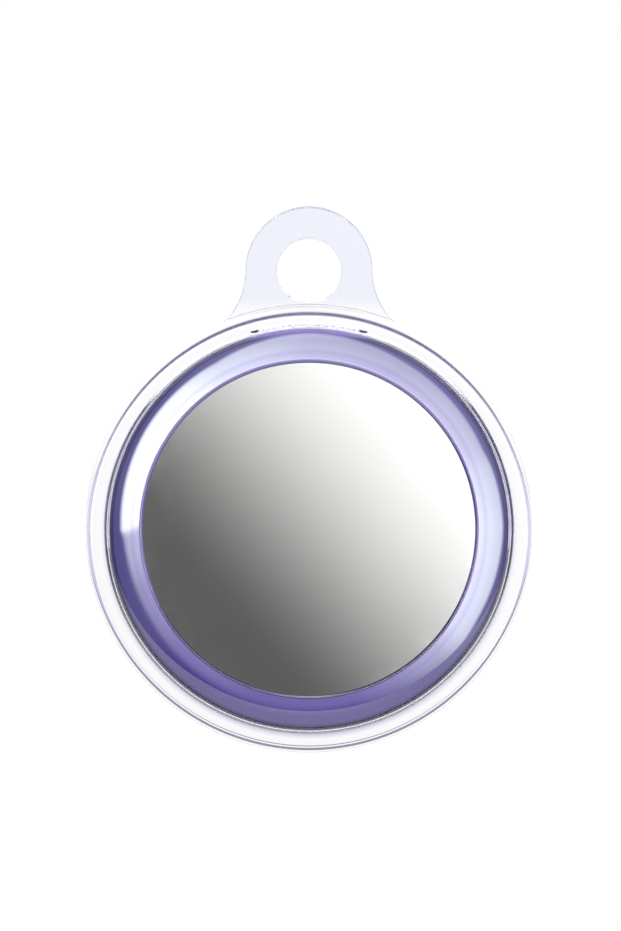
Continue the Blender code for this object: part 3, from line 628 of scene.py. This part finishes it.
def make_bezel():
    inner, top = COVER_RADIUS + BEZEL_GAP, COVER_UNDER + BEZEL_LIP
    edge_top = SKIRT_LOW + SKIRT_HEIGHT
    middle = inner - CROWN_INSET
    reach = BEZEL_OUTER - middle
    first = math.asin((CROWN_INSET + BEZEL_INNER_EDGE) / reach)
    rise = (top - edge_top) / math.cos(first)
    profile = [
        *arc((inner + BEZEL_INNER_EDGE, top - BEZEL_INNER_EDGE), BEZEL_INNER_EDGE, 180, 95, 4),
        *ellipse((middle, edge_top), reach, rise, 90 - math.degrees(first), 0, 40),
        *[(BEZEL_OUTER + out, BEAD + up) for up, out in BEAD_SECTION],
        (BEZEL_OUTER, SKIRT_LOW),
        *reversed(rim_curve(BEZEL_SEAT, BEZEL_OUTER - SKIRT_WALL, 8)),
        (inner - STEP_REACH, COVER_UNDER),
        (inner - STEP_REACH, COVER_UNDER + STEP_HEIGHT),
        (inner, COVER_UNDER + 2 * STEP_HEIGHT),
    ]
    dress(turned("bezel_ring", profile), "bezel", "violet", "retaining_bezel")


def make_tag():
    quarter = [TURN / 4 * k / 24 for k in range(25)]
    outside = [(TAG_RADIUS * math.sin(a), dome(TAG_RADIUS * math.sin(a))) for a in quarter]
    inside = [(radius, dome(radius) + DOME_WALL) for radius in [SHELF_INNER * k / 12 for k in range(13)]]
    profile = [
        *outside,
        *reversed(rim_curve(0.0, TAG_RADIUS, 12)[:-1]),
        (HOUSING_BORE, RIM_TOP),
        (HOUSING_BORE, SHELF_HEIGHT),
        (SHELF_INNER, SHELF_HEIGHT),
        *reversed(inside),
    ]
    dress(turned("tag_shell", profile), "tag", "white", "tag_housing")


def make_cover():
    """The steel cover, whose two faces bulge alike."""
    flat, top = COVER_RADIUS - COVER_EDGE, COVER_UNDER + COVER_THICKNESS
    radii = [flat * k / 16 for k in range(17)]
    drops = [(radius, COVER_CROWN * (radius / COVER_RADIUS) ** 2) for radius in radii]
    profile = [
        *[(radius, COVER_UNDER - drop) for radius, drop in drops],
        *arc((flat, COVER_UNDER - COVER_CROWN + COVER_EDGE), COVER_EDGE, -80, 0, 3),
        *arc((flat, top - COVER_CROWN - COVER_EDGE), COVER_EDGE, 0, 85, 4),
        *[(radius, top - drop) for radius, drop in reversed(drops)],
    ]
    dress(turned("cover_disc", profile), "cover", "steel", "cover_plate")


make_case()
make_bezel()
make_tag()
make_cover()

NODE_FINISHES = {part["node"]: part["material_slot"] for part in frame["record"]["subparts"]}
for name, node in frame["nodes"].items():
    node.data.materials.clear()
    node.data.materials.append(FINISHES[NODE_FINISHES[name]])


# Studio. A light is placed by the direction in which it lies, whose shares to the right, away from the
# camera and up make a unit length. Each pair is where it starts and ends, or its least and most

WHITE = (1.0, 1.0, 1.0)
FRONT = (0.05, -0.35)  # away, from the backdrop to the front of the studio
BACKDROP_RISE = (-0.6, 0.8)
BACKDROP_LEVELS = (0.45, 1.1)

# The field that the steel mirrors
STEEL_SLANT = (0.755, 0.656)  # right and up, the way in which it brightens
STEEL_SPAN = (-0.122, 0.173)
STEEL_LEVELS = (0.14, 1.53)
STEEL_END = (0.17, 0.22)  # off the axis
STEEL_LEFT = 0.2  # share of it that goes on past its end
CEILING_START = (0.2, 0.4)  # off the axis
CEILING_RISE = (-0.05, 0.2)
CEILING_LEVELS = (0.05, 0.22)

# Soft boxes round the axis that the bezel mirrors
BOX_LEVEL = 8.4
BOX_START = (0.163, 0.172)  # off the axis
BOX_FADE = (0.3, 0.8)
BOX_FADED = 0.75
BOX_SOFTNESS = 0.07
RIM_LIGHT = (0.90, 0.95)  # off the axis, almost square to it
RIM_LEVEL = 1.7
STREAK = ((0.25, 0.27), (0.34, 0.31))  # off the axis, both sides of a faint darker ring
STREAK_LEVEL = -0.15
BOX_TINT = (0.96, 1.04, 1.0)

# Positions run from the left through below, the right and above back to the left. Each stop has the
# brightness there as a share of the brightest, and how far off the axis the box reaches
SOFT_BOXES = (
    (0.0, 0.95, 0.52),
    (0.005, 0.95, 0.52),
    (0.009, 0.34, 0.46),
    (0.03, 0.33, 0.42),
    (0.06, 0.18, 0.40),
    (0.083, 0.15, 0.38),
    (0.12, 0.06, 0.38),
    (0.16, 0.04, 0.36),
    (0.2, 0.0, 0.38),
    (0.29, 0.0, 0.45),
    (0.333, 0.11, 0.50),
    (0.375, 0.30, 0.60),
    (0.40, 0.56, 0.62),
    (0.42, 0.60, 0.60),
    (0.50, 0.66, 0.72),
    (0.55, 0.53, 0.66),
    (0.565, 0.43, 0.60),
    (0.667, 0.31, 0.64),
    (0.75, 0.36, 0.80),
    (0.833, 0.62, 0.58),
    (0.875, 0.92, 0.60),
    (0.917, 1.00, 0.60),
    (0.96, 1.00, 0.56),
    (1.0, 0.95, 0.52),
)

# What the clear plastic bends into view
BELOW = ((-0.03, -0.18), (0.42, 1.0))
ABOVE = ((0.02, 0.10), (0.42, 0.85))
SIDE_BAND = (0.14, 0.06)  # up or down, where the dark edge ends nearer the axis
SIDE_SPAN = 0.14
EDGE_START = (0.048, 0.085)
EDGE_END = (0.33, 0.25)
FRONT_SHADE = (0.25, -0.25)
FRONT_SHADE_LEVEL = 0.3
TILT = (0.42, 0.85)
DARK_AT_SIDES = (0.2, 0.17, 0.6)
DARK_BELOW = (0.13, 0.115, 0.22)

# What the bezel's steep outer edge mirrors through the case wall
MIRRORED_DEPTH = (0.4, 0.6)  # between no glossy bounce and one
MIRRORED_START = (0.35, 0.45)
MIRRORED_AWAY = ((-0.3, -0.1), (0.56, 0.48))
MIRRORED_RISE = (-0.5, -0.1)
MIRRORED_SHARES = (0.1, 1.0)
MIRRORED_TURN = (0.4, 0.1)
MIRRORED_FAR = (2.9, 2.9, 3.4)
MIRRORED_NEAR = (5.0, 5.0, 5.9)

# What lights rough surfaces
DIFFUSE_RISE = ((-1.0, 1.0), (0.22, 0.62))
DIFFUSE_BACK = ((-0.1, 0.8), (0.0, 0.4))


class Studio(Graph):
    """The world's light by direction."""

    def __init__(self, tree):
        super().__init__(tree)
        split = self.node("ShaderNodeSeparateXYZ")
        self.put(self.node("ShaderNodeTexCoord").outputs["Generated"], split.inputs[0])
        self.right, self.away, self.up = split.outputs
        self.off_axis = self.distance(self.right, self.up)
        self.front = self.ramp(self.away, *FRONT)
        self.path = self.node("ShaderNodeLightPath").outputs

    def colour(self, *channels):
        made = self.node("ShaderNodeCombineColor")
        for value, socket in zip(channels, made.inputs):
            self.put(value, socket)
        return made.outputs[0]

    def picked(self, value, stops):
        """A colour ramp's red and green over value, for stops of (position, red, green)."""
        made = self.node("ShaderNodeValToRGB")
        ramp_stops = made.color_ramp.elements
        while len(ramp_stops) < len(stops):
            ramp_stops.new(0.5)
        for stop, (position, red, green) in zip(ramp_stops, stops):
            stop.position = position
            stop.color = (red, green, 0.0, 1.0)
        self.put(value, made.inputs[0])
        split = self.node("ShaderNodeSeparateColor")
        self.put(made.outputs[0], split.inputs[0])
        return split.outputs[0], split.outputs[1]

    def steel_field(self):
        """Dark at lower left and bright at upper right, with a dim ceiling past it."""
        right, up = STEEL_SLANT
        slant = self.total(self.product(self.right, right), self.product(self.up, up))
        field = self.ramp(slant, *STEEL_SPAN, *STEEL_LEVELS)
        field = self.product(field, self.ramp(self.off_axis, *STEEL_END, 1.0, STEEL_LEFT))
        ceiling = self.ramp(self.up, *CEILING_RISE, *CEILING_LEVELS)
        return self.total(field, self.product(self.ramp(self.off_axis, *CEILING_START), ceiling))

    def soft_boxes(self):
        turn_share = self.total(self.product(self.maths("ARCTAN2", self.up, self.right), 1 / TURN), 0.5)
        strength, reach = self.picked(turn_share, SOFT_BOXES)
        beyond = self.maths("SUBTRACT", self.off_axis, reach)
        boxes = self.product(
            strength,
            BOX_LEVEL,
            self.ramp(self.off_axis, *BOX_START),
            self.ramp(beyond, BOX_SOFTNESS, -BOX_SOFTNESS),
            self.ramp(self.off_axis, *BOX_FADE, 1.0, BOX_FADED),
        )
        boxes = self.total(boxes, self.ramp(self.off_axis, *RIM_LIGHT, 0.0, RIM_LEVEL))
        sides = [self.ramp(self.off_axis, *side) for side in STREAK]
        return self.product(boxes, self.total(1.0, self.product(*sides, STREAK_LEVEL)))

    def reflections(self):
        """What glossy surfaces mirror."""
        backdrop = self.ramp(self.up, *BACKDROP_RISE, *BACKDROP_LEVELS)
        backdrop = self.product(backdrop, self.maths("SUBTRACT", 1.0, self.front))
        near = self.product(self.steel_field(), self.front)
        boxes = self.product(self.soft_boxes(), self.front)
        return self.colour(*[self.total(near, backdrop, self.product(boxes, share)) for share in BOX_TINT])

    def through_plastic(self):
        """White behind the case, and a dark edge round it, most of all below."""
        tilt = self.maths("MAXIMUM", *[self.ramp(self.up, *span, *levels) for span, levels in (BELOW, ABOVE)])
        level = self.maths("ABSOLUTE", self.up)
        span = self.maths("SUBTRACT", self.off_axis, self.ramp(level, *SIDE_BAND, 0.0, SIDE_SPAN))
        edge = self.product(self.ramp(self.off_axis, *EDGE_START), self.ramp(span, *EDGE_END), tilt)
        shade = self.maths("MAXIMUM", edge, self.ramp(self.away, *FRONT_SHADE, 0.0, FRONT_SHADE_LEVEL))
        return self.mixed(shade, WHITE, self.mixed(self.ramp(tilt, *TILT), DARK_AT_SIDES, DARK_BELOW))

    def through_mirror(self, through):
        """The light through the plastic, and a bright one where the bezel's edge mirrors it."""
        mirrored = self.product(
            self.ramp(self.path["Glossy Depth"], *MIRRORED_DEPTH),
            self.ramp(self.off_axis, *MIRRORED_START),
            *[self.ramp(self.away, *side) for side in MIRRORED_AWAY],
            self.ramp(self.up, *MIRRORED_RISE, *MIRRORED_SHARES),
        )
        bright = self.mixed(self.ramp(self.away, *MIRRORED_TURN), MIRRORED_FAR, MIRRORED_NEAR)
        return self.mixed(mirrored, through, bright)

    def rough_light(self):
        sums = [(self.up, DIFFUSE_RISE), (self.away, DIFFUSE_BACK)]
        level = self.total(*[self.ramp(value, *span, *levels) for value, (span, levels) in sums])
        return self.colour(level, level, level)


def studio_world():
    """White for what the camera sees past the object, and a soft studio for light and reflections."""
    made = bpy.data.worlds.new("studio")
    bpy.context.scene.world = made
    made.use_nodes = True
    made.node_tree.nodes.clear()
    studio = Studio(made.node_tree)
    light = studio.mixed(studio.path["Is Glossy Ray"], studio.rough_light(), studio.reflections())
    through = studio.through_mirror(studio.through_plastic())
    light = studio.mixed(studio.path["Is Transmission Ray"], light, through)
    light = studio.mixed(studio.path["Is Camera Ray"], light, WHITE)
    background = studio.filled(studio.node("ShaderNodeBackground"), Color=light)
    studio.put(background.outputs[0], studio.node("ShaderNodeOutputWorld").inputs[0])


# Floor, lamp and camera, in metres

FLOOR_DROP = 0.085
FLOOR_SIDE = 0.6
FLOOR_FRONT = -0.122
FLOOR_BACK = 0.22
FLOOR_FADE = (0.05, 0.12)

LAMP_PLACE = (0.16, -0.22, 0.30)
LAMP_TARGET = (0.0, 0.0, -0.02)
LAMP_SIZE = 0.25
LAMP_WATTS = 1.0

CAMERA_AWAY = 0.45
CAMERA_ASIDE = 0.00012
SENSOR_MM = 36.0
PICTURE_HEIGHT = 931
PIXELS_PER_MM = 12.537
MIDDLE_ROW = 63.1  # how many pixels the picture's middle lies above the axis of the disc

BOUNCES = 48  # light bounces many times inside the clear plastic before it comes out


def make_floor():
    """A pale floor well below the hanging case. It is white to the camera away from the shadow."""
    bm = bmesh.new()
    corners = [
        (-FLOOR_SIDE, FLOOR_FRONT),
        (FLOOR_SIDE, FLOOR_FRONT),
        (FLOOR_SIDE, FLOOR_BACK),
        (-FLOOR_SIDE, FLOOR_BACK),
    ]
    bm.faces.new([bm.verts.new((x, y, 0.0)) for x, y in corners])
    floor = new_object("floor", bm)
    floor.location = (0.0, 0.0, -FLOOR_DROP)
    made = Finish("floor", (0.9, 0.9, 0.9), 0.9)
    length = made.node("ShaderNodeVectorMath", operation="LENGTH")
    made.put(made.coords, length.inputs[0])
    path = made.node("ShaderNodeLightPath").outputs
    seen = made.maths("MAXIMUM", path["Is Camera Ray"], path["Is Transmission Ray"])
    white = made.product(seen, made.ramp(length.outputs["Value"], *FLOOR_FADE))
    mix = made.node("ShaderNodeMixShader")
    glow = made.node("ShaderNodeEmission")
    for value, socket in zip((white, made.shader.outputs[0], glow.outputs[0]), mix.inputs):
        made.put(value, socket)
    made.put(mix.outputs[0], made.tree.nodes["Material Output"].inputs[0])
    floor.data.materials.append(made.material)


def make_lamp():
    """A soft light from the upper right, for the shadow on the floor. Nothing mirrors it."""
    data = bpy.data.lights.new("key", "AREA")
    data.energy = LAMP_WATTS
    data.size = LAMP_SIZE
    made = bpy.data.objects.new("key", data)
    made.location = LAMP_PLACE
    made.rotation_euler = (Vector(LAMP_TARGET) - Vector(LAMP_PLACE)).to_track_quat("-Z", "Y").to_euler()
    made.visible_glossy = False
    made.visible_transmission = False
    bpy.context.scene.collection.objects.link(made)


def make_camera():
    data = bpy.data.cameras.new("camera")
    data.sensor_width = SENSOR_MM
    data.clip_start = 0.01
    data.clip_end = 10.0
    data.lens = SENSOR_MM * CAMERA_AWAY / (PICTURE_HEIGHT / PIXELS_PER_MM * MM)
    made = bpy.data.objects.new("camera", data)
    made.location = (CAMERA_ASIDE, -CAMERA_AWAY, (-RISE + MIDDLE_ROW / PIXELS_PER_MM) * MM)
    made.rotation_euler = (TURN / 4, 0.0, 0.0)
    bpy.context.scene.collection.objects.link(made)
    bpy.context.scene.camera = made


studio_world()
make_floor()
make_lamp()
make_camera()
bpy.context.scene.view_settings.view_transform = "Standard"
cycles = bpy.context.scene.cycles
cycles.max_bounces = BOUNCES
cycles.transmission_bounces = BOUNCES
cycles.glossy_bounces = BOUNCES
cycles.use_denoising = True
